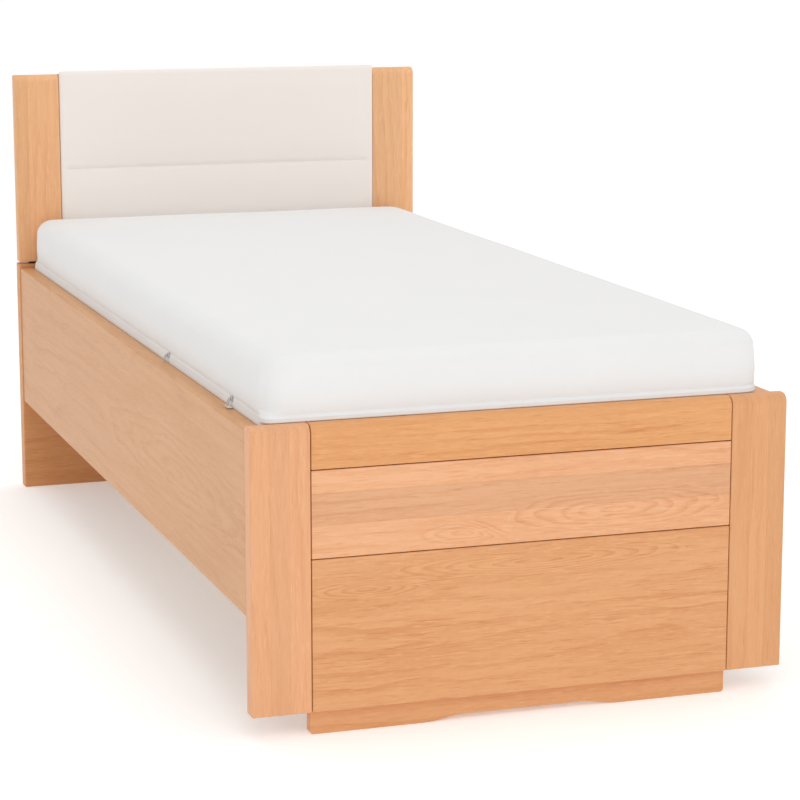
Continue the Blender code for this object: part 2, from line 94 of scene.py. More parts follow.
def studio():
    """A pale floor, an even world and two soft lights."""
    world = bpy.data.worlds.new("studio")
    world.use_nodes = True
    background = world.node_tree.nodes["Background"]
    background.inputs["Color"].default_value = WORLD_COLOUR
    nodes, links = world.node_tree.nodes, world.node_tree.links
    direction = nodes.new("ShaderNodeTexCoord").outputs["Generated"]
    across = nodes.new("ShaderNodeSeparateXYZ")
    dimmer = nodes.new("ShaderNodeMapRange")
    for socket, setting in zip(list(dimmer.inputs)[1:5], (-1.0, 0.2, WORLD_LEFT, WORLD_RIGHT)):
        socket.default_value = setting
    links.new(direction, across.inputs[0])
    links.new(across.outputs["X"], dimmer.inputs["Value"])
    links.new(dimmer.outputs["Result"], background.inputs["Strength"])
    bpy.context.scene.world = world
    bpy.context.scene.view_settings.view_transform = "Standard"
    area_light("key", (-0.6, -4.8, 4.2), (0, -0.2, 0.4), (3.0, 3.0), 45)
    area_light("top", (-0.3, 0.2, 4.6), (0, 0.2, 0.5), (3.5, 3.5), 38)
    graph = Graph("pale_floor")
    speck = graph.noise(graph.place("Object"), 3.0, 3)
    graph.set("Base Color", graph.mix(speck, (0.93, 0.93, 0.93), (0.97, 0.97, 0.965)))
    graph.set("Roughness", 0.75)
    graph.set("Emission Color", (1.0, 1.0, 1.0))
    graph.set("Emission Strength", FLOOR_GLOW)
    half = FLOOR_HALF
    mesh = bpy.data.meshes.new("floor")
    corners = [(-half, -half, 0), (half, -half, 0), (half, half, 0), (-half, half, 0)]
    mesh.from_pydata(corners, [], [(0, 1, 2, 3)])
    mesh.materials.append(graph.material)
    floor = bpy.data.objects.new("floor", mesh)
    bpy.context.scene.collection.objects.link(floor)


# ---- materials ----------------------------------------------------------------------------------


def srgb(*values):
    """Display values from 0 to 255 as scene colours."""
    unit = [v / 255 for v in values]
    return tuple(v / 12.92 if v <= 0.04045 else ((v + 0.055) / 1.055) ** 2.4 for v in unit)


class Graph:
    """A material and short ways to add nodes to it."""

    def __init__(self, name):
        self.material = bpy.data.materials.new(name)
        self.material.use_nodes = True
        self.tree = self.material.node_tree
        self.shader = self.tree.nodes["Principled BSDF"]

    def put(self, socket, value):
        if isinstance(value, bpy.types.NodeSocket):
            self.tree.links.new(value, socket)
        elif isinstance(value, tuple) and socket.type == "RGBA":
            socket.default_value = (*value, 1.0)
        else:
            socket.default_value = value

    def set(self, name, value):
        self.put(self.shader.inputs[name], value)

    def node(self, kind, **settings):
        made = self.tree.nodes.new("ShaderNode" + kind)
        for key, value in settings.items():
            setattr(made, key, value)
        return made

    def place(self, kind):
        return self.node("TexCoord").outputs[kind]

    def math(self, operation, a, b=0.0, c=0.0, clamp=False):
        made = self.node("Math", operation=operation, use_clamp=clamp)
        for socket, value in zip(made.inputs, (a, b, c)):
            self.put(socket, value)
        return made.outputs[0]

    def split(self, vector):
        made = self.node("SeparateXYZ")
        self.put(made.inputs[0], vector)
        return list(made.outputs)

    def join(self, x, y, z):
        made = self.node("CombineXYZ")
        for socket, value in zip(made.inputs, (x, y, z)):
            self.put(socket, value)
        return made.outputs[0]

    def noise(self, vector, scale, detail=2.0, roughness=0.5):
        made = self.node("TexNoise")
        self.put(made.inputs["Vector"], vector)
        made.inputs["Scale"].default_value = scale
        made.inputs["Detail"].default_value = detail
        made.inputs["Roughness"].default_value = roughness
        return made.outputs["Fac"]

    def steps(self, value, low, high, start=0.0, end=1.0):
        """value's run from low to high as a smooth run from start to end."""
        made = self.node("MapRange", interpolation_type="SMOOTHSTEP")
        for socket, setting in zip(made.inputs, (value, low, high, start, end)):
            self.put(socket, setting)
        return made.outputs["Result"]

    def mix(self, factor, a, b):
        made = self.node("Mix", data_type="RGBA")
        self.put(made.inputs[0], factor)
        self.put(made.inputs[6], a)
        self.put(made.inputs[7], b)
        return made.outputs[2]

    def bump(self, height, strength, distance):
        made = self.node("Bump")
        made.inputs["Strength"].default_value = strength
        made.inputs["Distance"].default_value = distance
        self.put(made.inputs["Height"], height)
        self.set("Normal", made.outputs["Normal"])


AXES = {"x": 0, "y": 1, "z": 2}
GRAIN_DARK = (0.74, 0.55, 0.37)     # the dark grain's share of the board's red, green and blue
ONE_TONE = 0.17                     # lifts the mean back to the board's own colour


def wood(name, grain, across, colour, seed, staves=(), arches=(), rings=38.0, depth=1.0):
    """Satin board. Grain runs along one axis, and staves, (place, tone), are glued side by side.

    arches, (along, across, length, width, count), are the long closed rings of a flat cut.
    """
    graph = Graph(name)
    parts = graph.split(graph.place("Object"))
    third = ({0, 1, 2} - {AXES[grain], AXES[across]}).pop()
    along, side, deep = parts[AXES[grain]], parts[AXES[across]], parts[third]
    stave, tone, joint = 0.0, 1.0, 0.0
    before = 1.0
    for place, shade in staves:
        over = graph.math("GREATER_THAN", side, place)
        stave = graph.math("ADD", stave, over)
        tone = graph.math("MULTIPLY_ADD", over, shade - before, tone)
        before = shade
        near = graph.math("ABSOLUTE", graph.math("SUBTRACT", side, place))
        joint = graph.math("ADD", joint, graph.steps(near, 0.0003, 0.0009, 1.0, 0.0))
    far = graph.math("MULTIPLY_ADD", stave, 3.71, graph.math("ADD", along, seed * 1.37))
    wide = graph.math("MULTIPLY_ADD", stave, 0.83, graph.math("ADD", side, seed * 0.41))
    inner = graph.math("ADD", deep, seed * 0.17)

    def stretched(length, width):
        """Places scaled so that noise has features of about this length and width."""
        values = ((far, length), (wide, width), (inner, width))
        return graph.join(*(graph.math("MULTIPLY", value, 1 / size) for value, size in values))

    warp = graph.math("SUBTRACT", graph.noise(stretched(0.42, 0.10), 1.0, 2.0), 0.5)
    ripple = graph.math("SUBTRACT", graph.noise(stretched(0.09, 0.022), 1.0, 1.5), 0.5)
    run = graph.math("MULTIPLY_ADD", inner, 0.6, wide)
    ring = graph.math("MULTIPLY_ADD", warp, 3.4, graph.math("MULTIPLY", run, rings))
    arch_mask = 0.0
    for centre, height, length, width, count in arches:
        a = graph.math("DIVIDE", graph.math("SUBTRACT", along, centre), length)
        b = graph.math("DIVIDE", graph.math("SUBTRACT", side, height), width)
        b = graph.math("MULTIPLY_ADD", warp, 0.55, b)
        span = graph.math("ADD", graph.math("MULTIPLY", a, a), graph.math("MULTIPLY", b, b))
        span = graph.math("SQRT", span)
        here = graph.steps(span, 0.75, 1.15, 1.0, 0.0)
        oval = graph.math("MULTIPLY_ADD", ripple, 1.1, graph.math("MULTIPLY", span, count))
        ring = graph.math("ADD", graph.math("MULTIPLY", ring, graph.math("SUBTRACT", 1.0, here)),
                          graph.math("MULTIPLY", oval, here))
        arch_mask = graph.math("MAXIMUM", arch_mask, here)
    ring = graph.math("MULTIPLY_ADD", ripple, 0.35, ring)
    phase = graph.math("FRACT", ring)
    rise = graph.steps(phase, 0.35, 0.93)
    band = graph.math("MULTIPLY", rise, graph.steps(phase, 0.93, 1.0, 1.0, 0.0))
    patchy = graph.steps(graph.noise(stretched(0.35, 0.05), 1.0, 1.0), 0.35, 0.7, 0.25, 1.0)
    patchy = graph.math("MAXIMUM", patchy, graph.math("MULTIPLY", arch_mask, 0.95))
    band = graph.math("MULTIPLY", band, patchy)
    streak = graph.noise(stretched(0.30, 0.011), 1.0, 2.0)
    dashes = graph.steps(graph.noise(stretched(0.060, 0.0028), 1.0, 2.0), 0.56, 0.72)
    flecks = graph.steps(graph.noise(stretched(0.034, 0.0024), 1.0, 1.5), 0.54, 0.70)
    pores = graph.steps(graph.noise(stretched(0.016, 0.0009), 1.0, 1.0), 0.58, 0.70)
    cloud = graph.noise(stretched(0.5, 0.14), 1.0, 1.0)
    amount = graph.math("MULTIPLY", band, 0.32 * depth)
    shares = (
        (streak, 0.42), (dashes, 0.33), (flecks, -0.34), (pores, 0.22), (cloud, 0.46), (joint, 0.25)
    )
    for value, share in shares:
        amount = graph.math("MULTIPLY_ADD", value, share * depth, amount)
    amount = graph.math("SUBTRACT", amount, 0.475 * depth - ONE_TONE, clamp=True)
    dark = tuple(c * k for c, k in zip(colour, GRAIN_DARK))
    shaded = graph.mix(amount, colour, dark)
    toned = graph.node("VectorMath", operation="SCALE")
    graph.put(toned.inputs[0], shaded)
    graph.put(toned.inputs["Scale"], tone)
    graph.set("Base Color", toned.outputs[0])
    graph.set("Roughness", graph.math("MULTIPLY_ADD", streak, 0.14, 0.38))
    graph.set("Specular IOR Level", 0.35)
    height = graph.math("MULTIPLY_ADD", dashes, -0.5, graph.math("MULTIPLY", pores, -0.8))
    height = graph.math("MULTIPLY_ADD", streak, 0.3, height)
    graph.bump(height, 0.35, 0.0002)
    return graph.material


def fabric(name, colour, pitch):
    """Woven cover with a fine over-and-under, thicker threads here and there, and lint."""
    graph = Graph(name)
    uv = graph.node("UVMap", uv_map="UVMap").outputs[0]
    u, v, _ = graph.split(uv)
    turn = 2 * math.pi / pitch
    wave_u = graph.math("SINE", graph.math("MULTIPLY", u, turn))
    wave_v = graph.math("SINE", graph.math("MULTIPLY", v, turn))
    weave = graph.math("MULTIPLY_ADD", graph.math("MULTIPLY", wave_u, wave_v), 0.5, 0.5)

    def threads(a, b):
        scaled = graph.join(graph.math("MULTIPLY", u, a), graph.math("MULTIPLY", v, b), 0.0)
        return graph.noise(scaled, 1.0, 2.0)

    slub = graph.math("ADD", threads(30.0, 700.0), threads(700.0, 30.0))
    lint = graph.noise(uv, 900.0, 2.0)
    broad = graph.noise(uv, 5.0, 2.0)
    amount = graph.math("MULTIPLY_ADD", weave, 0.22, graph.math("MULTIPLY", slub, 0.22))
    amount = graph.math("MULTIPLY_ADD", broad, 0.25, amount)
    shade = tuple(c * 0.90 for c in colour)
    graph.set("Base Color", graph.mix(amount, colour, shade))
    graph.set("Roughness", graph.math("MULTIPLY_ADD", lint, 0.08, 0.86))
    graph.set("Specular IOR Level", 0.2)
    graph.set("Sheen Weight", 0.12)
    graph.set("Sheen Roughness", 0.5)
    height = graph.math("MULTIPLY_ADD", slub, 0.35, weave)
    graph.bump(graph.math("MULTIPLY_ADD", lint, 0.3, height), 0.35, pitch * 0.2)
    return graph.material


def metal(name, colour, roughness, along):
    """Plated steel with faint draw lines along one axis."""
    graph = Graph(name)
    parts = graph.split(graph.place("Object"))
    rates = [40.0 if axis == AXES[along] else 1500.0 for axis in range(3)]
    scaled = [graph.math("MULTIPLY", part, rate) for part, rate in zip(parts, rates)]
    lines = graph.noise(graph.join(*scaled), 1.0, 2.0)
    cloud = graph.noise(graph.place("Object"), 60.0, 3.0)
    graph.set("Base Color", graph.mix(cloud, colour, tuple(c * 0.8 for c in colour)))
    graph.set("Metallic", 1.0)
    graph.set("Roughness", graph.math("MULTIPLY_ADD", lines, 0.2, roughness - 0.1))
    graph.bump(lines, 0.1, 0.0001)
    return graph.material


def plastic(name, colour):
    """Moulded plastic or rubber with a fine spark-eroded grain."""
    graph = Graph(name)
    grain = graph.noise(graph.place("Object"), 1400.0, 2.0)
    cloud = graph.noise(graph.place("Object"), 30.0, 2.0)
    graph.set("Base Color", graph.mix(cloud, colour, tuple(c * 0.7 for c in colour)))
    graph.set("Roughness", graph.math("MULTIPLY_ADD", grain, 0.2, 0.42))
    graph.bump(grain, 0.25, 0.0001)
    return graph.material


# ---- boards -------------------------------------------------------------------------------------


HEAD_EDGE_STAVE = 0.027     # width of the outer stave of each head board


def dress(material, *names):
    for name in names:
        NODES[name].data.materials.clear()
        NODES[name].data.materials.append(material)


def boards():
    """Oak tones board by board, with the staves and the ovals of the flat cuts where they show; the
    left rail and the head's lower panel carry painted shade in their colours.
    """
    pale, warm, plain = srgb(232, 176, 134), srgb(230, 168, 112), srgb(227, 168, 118)
    posts = {"left": srgb(232, 174, 130), "right": srgb(225, 167, 118)}
    heads = {"left": srgb(237, 182, 134), "right": srgb(243, 190, 142)}
    for label, side in SIDES:
        post_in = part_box("foot_top_rail")[1].x
        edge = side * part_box("foot_post_right")[1].x
        inner = side * post_in
        thirds = sorted((inner + (edge - inner) * 0.36, inner + (edge - inner) * 0.68))
        tones = (0.97, 1.02) if side < 0 else (1.03, 0.98)
        staves = tuple(zip(thirds, tones))
        post = wood(
            f"oak_post_{label}", "z", "x", posts[label], 3 + side, staves, rings=46, depth=0.6
        )
        dress(post, f"foot_post_{label}")
        split = side * (abs(edge) - HEAD_EDGE_STAVE)
        order = ((-1.0, 0.93), (split, 1.0)) if side < 0 else ((-1.0, 0.92), (split, 1.02))
        head = wood(
            f"oak_head_{label}", "z", "x", heads[label], 8 + side, order, rings=50, depth=0.75
        )
        dress(head, f"head_board_{label}")
        arches = ((-0.55, 0.36, 0.9, 0.10, 6.0),)
        # the left rail's colour is darker than plain oak: painted shade for its side facing away
        # from the light; the right rail keeps the plain colour
        rail_colour_shaded_left = srgb(217, 165, 117) if side < 0 else plain
        rail = wood(f"oak_rail_{label}", "y", "z", rail_colour_shaded_left, 12 + side, (), arches, 26, 0.7)
        dress(rail, f"side_rail_{label}")
    low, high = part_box("foot_middle_board")
    tall = high.z - low.z
    dress(wood("oak_top_rail", "x", "z", warm, 5, rings=60), "foot_top_rail")
    staves = ((low.z, 1.05), (low.z + tall * 0.38, 0.94), (low.z + tall * 0.74, 1.06))
    swirls = (
        (-0.11, low.z + tall * 0.17, 0.11, 0.026, 4.0),
        (0.17, low.z + tall * 0.30, 0.27, 0.045, 7.0),
    )
    dress(wood("oak_middle_board", "x", "z", pale, 6, staves, swirls, 40), "foot_middle_board")
    ovals = ((-0.29, 0.250, 0.15, 0.024, 6.0), (0.03, 0.277, 0.36, 0.030, 8.0))
    dress(wood("oak_lower_panel", "x", "z", plain, 7, (), ovals, 26, 1.1), "foot_lower_panel")
    dress(wood("oak_plinth", "x", "z", plain, 9, (), (), 40, 0.9), "foot_plinth")
    ovals = ((0.1, 0.30, 0.5, 0.09, 7.0),)
    # the head's lower panel is darker than plain oak: painted shade, as it shows only in the shadow
    # under the bed
    deep = srgb(214, 153, 101)
    dress(wood("oak_head_panel", "x", "z", deep, 10, (), ovals, 24), "head_lower_panel")
    dress(wood("oak_rear_panel", "x", "z", plain, 15, (), (), 24), "head_rear_panel")
    birch = srgb(221, 190, 148)
    slats = [n for n in NODES if "_slat_" in n or "_bar" in n or n.startswith("base_end")]
    dress(wood("birch_across", "x", "y", birch, 20, (), (), 30, 0.5), *slats, "head_pad_backing")
    runs = [n for n in NODES if "_side_" in n and n[:4] in ("base", "back", "leg_")]
    ledges = ["slat_ledge_left", "slat_ledge_right"]
    dress(wood("birch_along", "y", "z", birch, 21, (), (), 30, 0.5), *runs, *ledges)


def fittings():
    """Metal and plastic looks for the CAD model's own small nodes, and a near-black painted shadow
    on the head gap strip.
    """
    brackets = [n for n in NODES if "bracket" in n]
    dress(metal("zinc_bracket", srgb(190, 192, 196), 0.38, "z"), *brackets)
    rods = ["back_pivot_rod", "leg_pivot_rod", "back_bow", "leg_bow"]
    dress(metal("zinc_rod", srgb(186, 188, 193), 0.34, "x"), *rods)
    zips = [n for n in NODES if n.startswith("zip")]
    dress(metal("nickel_zip", srgb(205, 205, 207), 0.36, "y"), *zips)
    racks = [n for n in NODES if "_rack_" in n]
    dress(plastic("grey_plastic", srgb(70, 71, 74)), *racks)
    # the head gap strip is a real batten; its near-black colour is painted shadow of the recessed
    # gap between the head's lower panel and its upper boards
    dress(plastic("gap_strip_painted_shadow", srgb(26, 24, 22)), "head_gap_strip")


# ---- meshes -------------------------------------------------------------------------------------


def rows(low, high, step, near=(), extra=()):
    """Places from low to high about a step apart, closer at each end, with some extra ones."""
    inside = np.linspace(low, high, max(2, round((high - low) / step) + 1))
    ends = [low + d for d in near] + [high - d for d in near]
    kept = [p for p in inside if all(abs(p - e) > step * 0.4 for e in (*ends, *extra))]
    return np.array(sorted({low, high, *kept, *ends, *extra}))


def box_surface(xs, ys, zs):
    """Vertices and faces of a closed box whose faces are grids at these places."""
    shape = (len(xs), len(ys), len(zs))
    index = -np.ones(shape, int)
    i, j, k = np.indices(shape)
    shell = (i == 0) | (i == shape[0] - 1) | (j == 0) | (j == shape[1] - 1)
    shell |= (k == 0) | (k == shape[2] - 1)
    index[shell] = np.arange(shell.sum())
    points = np.stack([xs[i[shell]], ys[j[shell]], zs[k[shell]]], axis=1).astype(float)
    faces = []
    for axis in range(3):
        for end in (0, -1):
            sheet = np.take(index, end, axis=axis)
            ring = [sheet[:-1, :-1], sheet[1:, :-1], sheet[1:, 1:], sheet[:-1, 1:]]
            quad = np.stack(ring, axis=-1).reshape(-1, 4)
            outward = (end == -1) != (axis == 1)
            faces.append(quad if outward else quad[:, ::-1])
    return points, np.concatenate(faces)


def smooth_run(values, low, high):
    """0 below low, 1 above high, and a smooth rise between them."""
    t = np.clip((values - low) / (high - low), 0, 1)
    return t * t * (3 - 2 * t)


RIM = 0.030         # depth inside the outline over which a side's shape fades out


def soften_box(points, low, high, corner, edge):
    """Rounds a box's points: corner is the radius seen from above, edge that of its rims.

    Also gives each point's way out, seen from above, and how near it is to the outline, 0 to 1.
    """
    middle, half = (low + high) / 2, (high - low) / 2
    sign = np.where(points < middle, -1.0, 1.0)
    p = np.abs(points - middle)
    round_ = np.broadcast_to(corner, len(p))[:, None]
    q = np.clip(p[:, :2] - (half[:2] - round_), 0, round_)
    p[:, :2] += q * np.sqrt(1 - q[:, ::-1] ** 2 / (2 * round_**2)) - q
    q = p[:, :2] - (half[:2] - round_)
    over = np.maximum(q, 0)
    reach = np.linalg.norm(over, axis=1)
    inside = np.minimum(q.max(axis=1), 0)
    depth = reach + inside - corner
    axis = np.eye(2)[np.argmax(q, axis=1)]
    out = np.where(reach[:, None] > 1e-9, over / np.maximum(reach, 1e-9)[:, None], axis)
    m = np.clip(1 + depth / edge, 0, 1)
    n = np.clip((p[:, 2] - (half[2] - edge)) / edge, 0, 1)
    p[:, :2] += out * ((m * np.sqrt(1 - n * n / 2) - m) * edge)[:, None]
    p[:, 2] += (n * np.sqrt(1 - m * m / 2) - n) * edge
    rim = np.clip(1 + depth / RIM, 0, 1)
    return middle + p * sign, out * sign[:, :2], rim


def wavy(points, sizes, seed):
    """Smooth noise from -1 to 1 made of a few fixed waves of about these lengths."""
    draw = np.random.default_rng(seed)
    total = np.zeros(len(points))
    for _ in range(9):
        direction = draw.normal(size=3)
        direction /= np.linalg.norm(direction)
        waves = 2 * np.pi * draw.uniform(0.6, 1.5) / np.array(sizes)
        total += np.sin(points @ (direction * waves) + draw.uniform(0, 2 * np.pi))
    return total / 4.5


def crisp(mesh, picked):
    """Leaves the faces whose corners are all picked flat, with sharp edges round them."""
    for polygon in mesh.polygons:
        if all(picked[v] for v in polygon.vertices):
            polygon.use_smooth = False
    for edge in mesh.edges:
        if all(picked[v] for v in edge.vertices):
            edge.use_edge_sharp = True


def add_mesh(name, points, faces, material, uv):
    mesh = bpy.data.meshes.new(name)
    mesh.from_pydata([tuple(p) for p in points], [], [tuple(int(i) for i in f) for f in faces])
    mesh.polygons.foreach_set("use_smooth", [True] * len(mesh.polygons))
    layer = mesh.uv_layers.new(name="UVMap")
    corners = np.empty(len(mesh.loops), np.int32)
    mesh.loops.foreach_get("vertex_index", corners)
    layer.data.foreach_set("uv", uv[corners].astype(np.float32).ravel())
    mesh.materials.append(material)
    made = bpy.data.objects.new(name, mesh)
    bpy.context.scene.collection.objects.link(made)
    return made


# ---- mattress -----------------------------------------------------------------------------------

ZIP_Z = 0.549
CUT_Y = -0.005              # where the mattress's two halves meet, in the still part of the base
BACK_BEND = (0.02, 0.38)    # run of the bend over each hinge
LEG_BEND = (-0.03, -0.27)
TOP_EDGE = 0.030            # radius of the rims at the top and the bottom
TOP_CORNER = 0.042          # radius seen from above, over the zip
HEM_CORNER = 0.012          # the same below the zip, on the left side
# (height, how far the cover stands out there) on the long sides and on the foot side
SIDE_SHAPE = ((0.47, -0.003), (0.5325, -0.001), (0.5335, 0.0015), (0.5345, 0.0064),
              (0.5375, 0.0066), (0.541, 0.0060), (0.549, 0.0042), (0.553, 0.0034), (0.562, 0.0050),
              (0.58, 0.0062), (0.60, 0.0055), (0.63, 0.003), (0.655, 0.0))
FOOT_SHAPE = ((0.47, -0.002), (0.539, 0.001), (0.5408, 0.004), (0.5420, 0.0122), (0.5440, 0.0122),
              (0.547, 0.0108), (0.551, 0.0085), (0.556, 0.0065), (0.58, 0.0075), (0.60, 0.0065),
              (0.63, 0.0035), (0.655, 0.0))
HEM_ROWS = (0.5325, 0.5335, 0.5345, 0.536, 0.5375, 0.539, 0.5408, 0.542, 0.544, 0.5455, 0.547,
            0.548, 0.549, 0.550, 0.5515, 0.553, 0.5545, 0.5565, 0.559, 0.562)


def mattress_points(xs, ys, zs, low, high):
    """The cover's points, faces and UVs for grid places in the box from low to high."""
    raw, faces = box_surface(xs, ys, zs)
    rounding = smooth_run(raw[:, 2], ZIP_Z, ZIP_Z + 0.014)
    rounding = np.maximum(rounding, 0.85 * (raw[:, 0] > 0))
    corner = HEM_CORNER + (TOP_CORNER - HEM_CORNER) * rounding
    points, out, rim = soften_box(raw, low, high, corner, TOP_EDGE)
    z = points[:, 2]
    side = np.interp(z, *zip(*SIDE_SHAPE))
    foot = np.interp(z, *zip(*FOOT_SHAPE))
    # the outward shape: a side profile, the zip's raised line, puckers, and broad slack
    toward_foot = np.clip(-out[:, 1], 0, 1) ** 2
    toward_head = np.clip(out[:, 1], 0, 1) ** 2
    swell = side * (1 - toward_foot - toward_head) + foot * toward_foot
    bead = np.exp(-(((z - ZIP_Z) / 0.0016) ** 2)) * 0.0012
    crease = -np.exp(-(((z - ZIP_Z - 0.0045) / 0.0020) ** 2)) * 0.0018
    around = np.stack([points[:, 0], points[:, 1], z * 0.4], axis=1)
    pucker = wavy(around, (0.030, 0.030, 0.05), 5) * 0.0006
    pucker *= np.exp(-np.abs(z - ZIP_Z - 0.004) / 0.018)
    still = smooth_run(np.abs(points[:, 1] - CUT_Y), 0.02, 0.16)
    broad = wavy(points, (0.30, 0.34, 0.15), 11) * 0.0011 * still
    above = smooth_run(z, 0.5435, 0.556)
    line = (bead + crease) * (0.25 + 0.65 * toward_foot)
    moved = (swell + line + pucker * still + broad * above) * rim
    points[:, :2] += out * moved[:, None]
    # the top's slight crown
    middle, half_length = (low[1] + high[1]) / 2, (high[1] - low[1]) / 2
    x, y = raw[:, 0] / high[0], (raw[:, 1] - middle) / half_length
    crown = (1 - np.abs(x) ** 3) * (1 - np.abs(y) ** 6)
    top = smooth_run(z, 0.60, high[2])
    points[:, 2] += top * (0.0030 * crown - 0.0015 + broad * (1 - rim) * 0.9)
    # the underside arches up where it would be squeezed over a hinge
    arch = np.zeros(len(points))
    for start, end, rise in ((*BACK_BEND, 0.015), (LEG_BEND[1], LEG_BEND[0], 0.006)):
        t = np.clip((raw[:, 1] - start) / (end - start), 0, 1)
        arch = np.maximum(arch, rise * np.sin(np.pi * t) ** 0.7)
    points[:, 2] += arch * (1 - smooth_run(z, low[2], low[2] + 0.05))
    # the UVs unfold the sides from the top, in metres
    fall = high[2] - raw[:, 2]
    u = raw[:, 0] + np.sign(raw[:, 0]) * fall * (np.abs(raw[:, 0]) >= high[0] - 1e-6)
    ends = (raw[:, 1] <= low[1] + 1e-6) | (raw[:, 1] >= high[1] - 1e-6)
    v = raw[:, 1] + np.sign(raw[:, 1]) * fall * ends
    return points, faces, np.stack([u, v], axis=1)


def mattress():
    """Two covers that meet between the hinges."""
    cover = fabric("white_knit_cover", srgb(240, 240, 240), 0.0016)
    low = np.array(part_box("mattress_legs")[0])
    high = np.array(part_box("mattress_back")[1])
    close = (0.004, 0.009, 0.015, 0.022, 0.031, 0.042)
    step = 0.011
    xs = rows(low[0], high[0], step, close)
    zs = rows(low[2], high[2], 0.010, close[:4], HEM_ROWS)
    head_nodes, foot_nodes = ("mattress_back", "mattress_seat"), ("mattress_legs",)
    halves = (
        ("mattress_head_half", CUT_Y, high[1], head_nodes, "back_section", BACK_BEND),
        ("mattress_foot_half", low[1], CUT_Y, foot_nodes, "leg_section", LEG_BEND),
    )
    for name, start, end, nodes, body, bend in halves:
        places = [p for p in rows(low[1], high[1], step, close) if abs(p - CUT_Y) > 0.004]
        ys = np.array(sorted({start, *(p for p in places if start < p < end), end}))
        points, faces, uv = mattress_points(xs, ys, zs, low, high)
        piece = add_mesh(name, points, faces, cover, uv)
        crisp(piece.data, np.abs(points[:, 1] - CUT_Y) < 1e-6)
        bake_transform(piece)
        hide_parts(*nodes)


# ---- headboard pad ------------------------------------------------------------------------------

CHANNEL_Z = 0.768
CHANNEL_END = 0.012         # how far short of each side the stitched channel stops


def pad():
    """Headboard panel: two crowned fields with a stitched channel between them."""
    cover = fabric("cream_woven_cover", srgb(244, 236, 230), 0.0018)
    low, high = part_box("head_pad")
    wide, tall, thick = high.x, (high.z - low.z) / 2, high.y - low.y
    middle = (high.z + low.z) / 2
    step = 0.007
    close = (0.0015, 0.0035, 0.006, 0.009, 0.013)
    line = CHANNEL_Z - middle
    offsets = (0.0018, 0.0035, 0.006, 0.009, 0.014)
    rungs = (line, *(line + way * offset for way in (-1, 1) for offset in offsets))
    xs = rows(-wide, wide, step, close)
    ys = rows(-tall, tall, step, close, rungs)
    zs = rows(0.0, thick, 0.005, close[:4])
    raw, faces = box_surface(xs, ys, zs)
    near, far = np.array((-wide, -tall, 0.0)), np.array((wide, tall, thick))
    points, _, _ = soften_box(raw, near, far, 0.008, 0.0085)
    x, y, z = points.T
    front = smooth_run(z, thick - 0.012, thick - 0.001)
    upper = smooth_run(y, line, line + 0.05) * (1 - smooth_run(y, tall - 0.05, tall))
    lower = (1 - smooth_run(y, line - 0.05, line)) * smooth_run(y, -tall, -tall + 0.05)
    sides = 1 - smooth_run(np.abs(x), wide - 0.05, wide)
    swell = 0.0035 * sides * (upper + lower)
    stop = 1 - smooth_run(np.abs(x), wide - CHANNEL_END - 0.012, wide - CHANNEL_END)
    groove = -0.0050 * np.exp(-np.abs((y - line) / 0.0042) ** 1.5) * stop
    stitches = 0.0004 * np.cos(2 * np.pi * x / 0.0065) * np.exp(-(((y - line) / 0.0045) ** 2)) * stop
    gather = wavy(np.stack([x, y * 0.25, z], axis=1), (0.028, 0.2, 1.0), 21)
    gather *= 0.0006 * np.exp(-np.abs(y - line) / 0.018) * (1 - np.exp(-(((y - line) / 0.005) ** 2)))
    soft = wavy(points, (0.22, 0.20, 0.5), 31) * 0.0007 * sides
    points[:, 2] += front * (swell + groove + stitches + gather * stop + soft)
    placed = np.stack([points[:, 0], high.y - points[:, 2], points[:, 1] + middle], axis=1)
    fall = thick - raw[:, 2]
    u = raw[:, 0] + np.sign(raw[:, 0]) * fall * (np.abs(raw[:, 0]) >= wide - 1e-6)
    v = raw[:, 1] + np.sign(raw[:, 1]) * fall * (np.abs(raw[:, 1]) >= tall - 1e-6)
    piece = add_mesh("headboard_pad", placed, faces, cover, np.stack([u, v], axis=1))
    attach(piece, "bedstead")
    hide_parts("head_pad")


# ---- small fittings -----------------------------------------------------------------------------


class Pile:
    """Several closed shapes that become one piece."""

    def __init__(self):
        self.points, self.faces = [], []

    def add(self, points, faces):
        start = len(self.points)
        self.points += [tuple(p) for p in points]
        self.faces += [tuple(i + start for i in face) for face in faces]

    def prism(self, outline, low, high, axis):
        """A flat outline, closed, given a length along an axis."""
        turn = {"x": (2, 0, 1), "y": (1, 2, 0), "z": (0, 1, 2)}[axis]
        count = len(outline)
        made = [[(a, b, level)[t] for t in turn] for level in (low, high) for a, b in outline]
        faces = [(i, (i + 1) % count, (i + 1) % count + count, i + count) for i in range(count)]
        self.add(made, [*faces, tuple(range(count))[::-1], tuple(range(count, 2 * count))])

    def lathe(self, profile, centre, way, turns=16):
        """A profile of (radius, height) turned about an axis, for a screw head or stud."""
        facing = Vector(way).to_track_quat("Z", "Y").to_matrix()
        angles = [math.tau * k / turns for k in range(turns)]
        ring = [(math.cos(angle), math.sin(angle)) for angle in angles]
        made = [
            Vector(centre) + facing @ Vector((r * c, r * s, h)) for r, h in profile for c, s in ring
        ]
        faces = []
        for level in range(len(profile) - 1):
            for k in range(turns):
                a, b = level * turns + k, level * turns + (k + 1) % turns
                faces.append((a, b, b + turns, a + turns))
        last = (len(profile) - 1) * turns
        faces += [tuple(range(turns))[::-1], tuple(range(last, last + turns))]
        self.add(made, faces)

    def piece(self, name, material, body, slot, edge=0.0):
        mesh = bpy.data.meshes.new(name)
        mesh.from_pydata(self.points, [], self.faces)
        mesh.materials.append(material)
        made = bpy.data.objects.new(name, mesh)
        bpy.context.scene.collection.objects.link(made)
        if edge:
            bevel = made.modifiers.new("edges", "BEVEL")
            bevel.width, bevel.segments, bevel.angle_limit = edge, 2, math.radians(50)
        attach(made, body)


